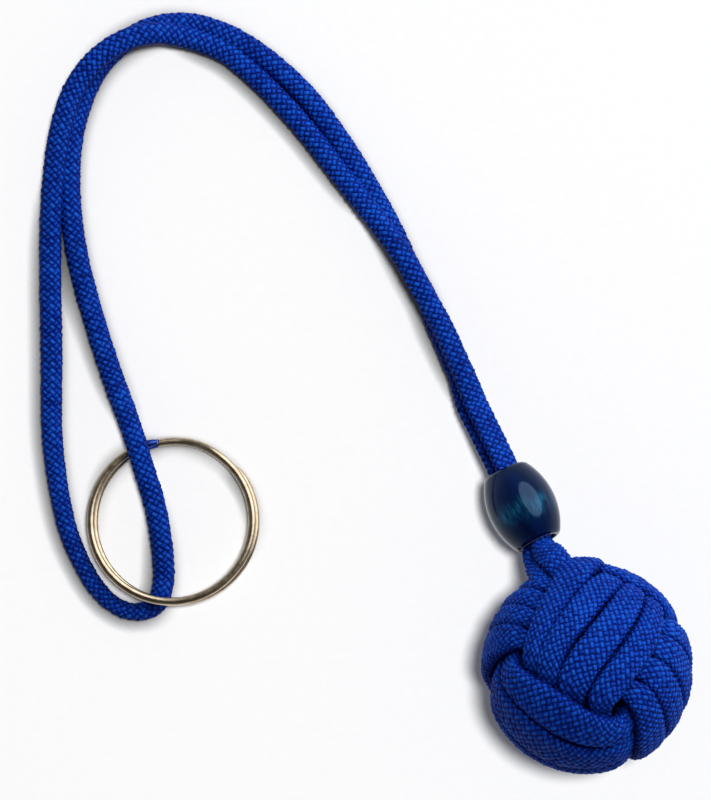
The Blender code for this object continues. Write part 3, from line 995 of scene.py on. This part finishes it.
def nickelFinish():
    material, tree, shader = newFinish("nickel-plated spring wire")
    wear = grain(tree, *nickel["wear"])
    colour = ramp(tree, wear, nickel["colours"])
    # painted reflection: the lower wire beside the cut end is painted blue, for the blue cord seen
    # in its polish
    place = tree.nodes.new("ShaderNodeTexCoord")
    away = tree.nodes.new("ShaderNodeVectorMath")
    away.operation = "DISTANCE"
    away.inputs[1].default_value = [c * mm for c in nickel["cordReflectionAt"]]
    tree.links.new(place.outputs["Object"], away.inputs[0])
    reflectsCord = sums(tree, "LESS_THAN", away.outputs["Value"], nickel["cordReflectionReach"] * mm)
    colour = blendColours(tree, reflectsCord, colour, nickel["stain"])
    tree.links.new(colour, shader.inputs["Base Color"])
    rough = tree.nodes.new("ShaderNodeMapRange")
    tree.links.new(wear, rough.inputs["Value"])
    rough.inputs["To Min"].default_value = nickel["roughness"][0]
    rough.inputs["To Max"].default_value = nickel["roughness"][1]
    tree.links.new(rough.outputs[0], shader.inputs["Roughness"])
    shader.inputs["Metallic"].default_value = 1.0
    addBump(tree, shader, grain(tree, *nickel["scratches"]), *nickel["bump"])
    return material


makeRing()
print("ring wound")


steel = {
    "marks": (400, 4.0),
    # dark steel, tinted navy as painted shade and blue bounce inside the knot
    "colours": [(0.3, (0.04, 0.06, 0.14)), (0.7, (0.08, 0.11, 0.24))],
    "roughness": 0.5,
}


def steelFinish():
    material, tree, shader = newFinish("dark steel ball")
    colour = ramp(tree, grain(tree, *steel["marks"]), steel["colours"])
    tree.links.new(colour, shader.inputs["Base Color"])
    shader.inputs["Metallic"].default_value = 1.0
    shader.inputs["Roughness"].default_value = steel["roughness"]
    return material


# the ball is the solid one, seen only as a dark glint between the turns; its navy tint is painted
# shade and blue bounce from the cord
for slot in frame["nodes"]["core_ball"].material_slots:
    slot.material = steelFinish()
print("ball darkened")


studio = {
    "floorDrop": 0.05,      # the sheet sits a hair under the cord
    "floorSize": 6000,
    "fibre": (600, 3.0),
    "fibreTones": [(0.3, (0.985, 0.985, 0.985)), (0.7, (1, 1, 1))],
    "paper": 0.90,
    "paperBounce": 0.40,    # less comes back off it than the camera sees
    "paperRoughness": 0.9,
    "paperSpecular": 0.1,
    "glow": 0.05,
    "farGlow": 0.55,        # the sheet runs into a white backdrop
    "farFrom": 150,
    "farTo": 1100,
    "contactShadowReach": 3.5,    # mm over which a shadow is painted into the sheet towards what lies on it
    "contactShadowShare": 0.92,
    "contactShadowPower": 2.3,
    "contactShadowSamples": 16,
    "contactShadowLean": 32,      # the painted shadow lies mostly on the side away from the overhead lamp
    # the softbox models cord and bead, the sidelight the polished ring, and the overhead
    # lamp throws the short shadow on the sheet
    "softbox": {"towards": 50, "fromVertical": 42, "distance": 0.55, "size": 0.60, "watts": 3.5},
    "overhead": {"towards": 40, "fromVertical": 7.5, "distance": 1.5, "size": 0.25, "watts": 21.0},
    "sidelight": {"towards": 50, "fromVertical": 42, "distance": 0.55, "size": 0.60, "watts": 1.7},
    "sky": [                # from the horizon up
        (0.0, (0.84, 0.87, 0.92)), (0.55, (0.27, 0.275, 0.30)), (0.97, (0.04, 0.035, 0.03)),
    ],
    "skyLight": 0.50,       # share of it that lights things, beside what shows in a gloss
}


def leaning(towards, fromVertical):
    heading, lean = math.radians(towards), math.radians(fromVertical)
    level = math.sin(lean)
    return math.cos(heading) * level, math.sin(heading) * level, math.cos(lean)


def makeFloor():
    half = studio["floorSize"] / 2
    z = -studio["floorDrop"]
    corners = [(-half, -half, z), (half, -half, z), (half, half, z), (-half, half, z)]
    material, tree, shader = newFinish("white paper sheet")
    fibre = ramp(tree, grain(tree, *studio["fibre"]), studio["fibreTones"])
    rays = tree.nodes.new("ShaderNodeLightPath")
    looked = sums(tree, "MAXIMUM", rays.outputs["Is Camera Ray"], rays.outputs["Is Glossy Ray"])
    bounce, lean = studio["paperBounce"], studio["contactShadowLean"]
    level = sums(tree, "MULTIPLY_ADD", looked, studio["paper"] - bounce, bounce)
    # painted shadow: the sheet's colour darkens near what lies on it
    paintedShadow = tree.nodes.new("ShaderNodeAmbientOcclusion")
    paintedShadow.samples = studio["contactShadowSamples"]
    paintedShadow.inputs["Distance"].default_value = studio["contactShadowReach"] * mm
    facing = tree.nodes.new("ShaderNodeCombineXYZ")
    for socket, value in zip(facing.inputs, leaning(studio["overhead"]["towards"], lean)):
        socket.default_value = value
    tree.links.new(facing.outputs[0], paintedShadow.inputs["Normal"])
    # the leaning half-sphere dips into the sheet itself, and a bare sheet has this much left
    bare = (1 + math.cos(math.radians(lean))) / 2
    clear = sums(tree, "MINIMUM", sums(tree, "DIVIDE", paintedShadow.outputs["AO"], bare), 1.0)
    clear = sums(tree, "POWER", clear, studio["contactShadowPower"])
    shaded = sums(tree, "MULTIPLY_ADD", clear, studio["contactShadowShare"], 1 - studio["contactShadowShare"])
    level = sums(tree, "MULTIPLY", level, shaded)
    tree.links.new(sums(tree, "MULTIPLY", fibre, level), shader.inputs["Base Color"])
    shader.inputs["Roughness"].default_value = studio["paperRoughness"]
    shader.inputs["Specular IOR Level"].default_value = studio["paperSpecular"]
    shader.inputs["Emission Color"].default_value = (1, 1, 1, 1)
    # far off it glows, until it is as white as the backdrop
    place = tree.nodes.new("ShaderNodeTexCoord")
    away = tree.nodes.new("ShaderNodeVectorMath")
    away.operation = "LENGTH"
    tree.links.new(place.outputs["Object"], away.inputs[0])
    reach = tree.nodes.new("ShaderNodeMapRange")
    reach.interpolation_type = "SMOOTHSTEP"
    tree.links.new(away.outputs["Value"], reach.inputs["Value"])
    reach.inputs["From Min"].default_value = studio["farFrom"] * mm
    reach.inputs["From Max"].default_value = studio["farTo"] * mm
    reach.inputs["To Max"].default_value = studio["farGlow"]
    glow = sums(tree, "ADD", sums(tree, "MULTIPLY", clear, studio["glow"]), reach.outputs[0])
    tree.links.new(sums(tree, "MULTIPLY", looked, glow), shader.inputs["Emission Strength"])
    corners = np.array(corners) * mm
    meshPiece("paper_floor", corners, [np.array([[0, 1, 2, 3]])], [], material)


def makeLamp(name):
    lamp = studio[name]
    data = bpy.data.lights.new(name, "AREA")
    data.shape = "DISK"
    data.size = lamp["size"]
    data.energy = lamp["watts"]
    light = bpy.data.objects.new(name, data)
    arm = Vector(leaning(lamp["towards"], lamp["fromVertical"]))
    light.location = Vector((*photo["over"], 0)) * mm + arm * lamp["distance"]
    light.rotation_euler = arm.to_track_quat("Z", "Y").to_euler()
    bpy.context.scene.collection.objects.link(light)
    return light


def makeSky():
    sky = bpy.data.worlds.new("pale studio")
    sky.use_nodes = True
    tree = sky.node_tree
    background = tree.nodes["Background"]
    place = tree.nodes.new("ShaderNodeTexCoord")
    split = tree.nodes.new("ShaderNodeSeparateXYZ")
    tree.links.new(place.outputs["Generated"], split.inputs[0])
    rays = tree.nodes.new("ShaderNodeLightPath")
    looked, glossy = rays.outputs["Is Camera Ray"], rays.outputs["Is Glossy Ray"]
    # the camera sees plain white, and only what is glossy or lit gets the gradient
    dome = ramp(tree, split.outputs[2], studio["sky"])
    sight = blendColours(tree, looked, dome, (1.0, 1.0, 1.0))
    tree.links.new(sight, background.inputs["Color"])
    lit = studio["skyLight"]
    share = sums(tree, "MAXIMUM", sums(tree, "MULTIPLY_ADD", glossy, 1 - lit, lit), looked)
    tree.links.new(share, background.inputs["Strength"])
    bpy.context.scene.world = sky
    bpy.context.scene.view_settings.view_transform = "Standard"


makeFloor()
lampFor = {"paper_floor": "overhead", "nickel_split_ring": "sidelight"}
for lampName in ("softbox", "sidelight", "overhead"):
    lit = bpy.data.collections.new("lit by " + lampName)
    for thing in bpy.context.scene.objects:
        if thing.type == "MESH" and lampFor.get(thing.name, "softbox") == lampName:
            lit.objects.link(thing)
    makeLamp(lampName).light_linking.receiver_collection = lit
makeSky()
print("paper, lamps and sky set")
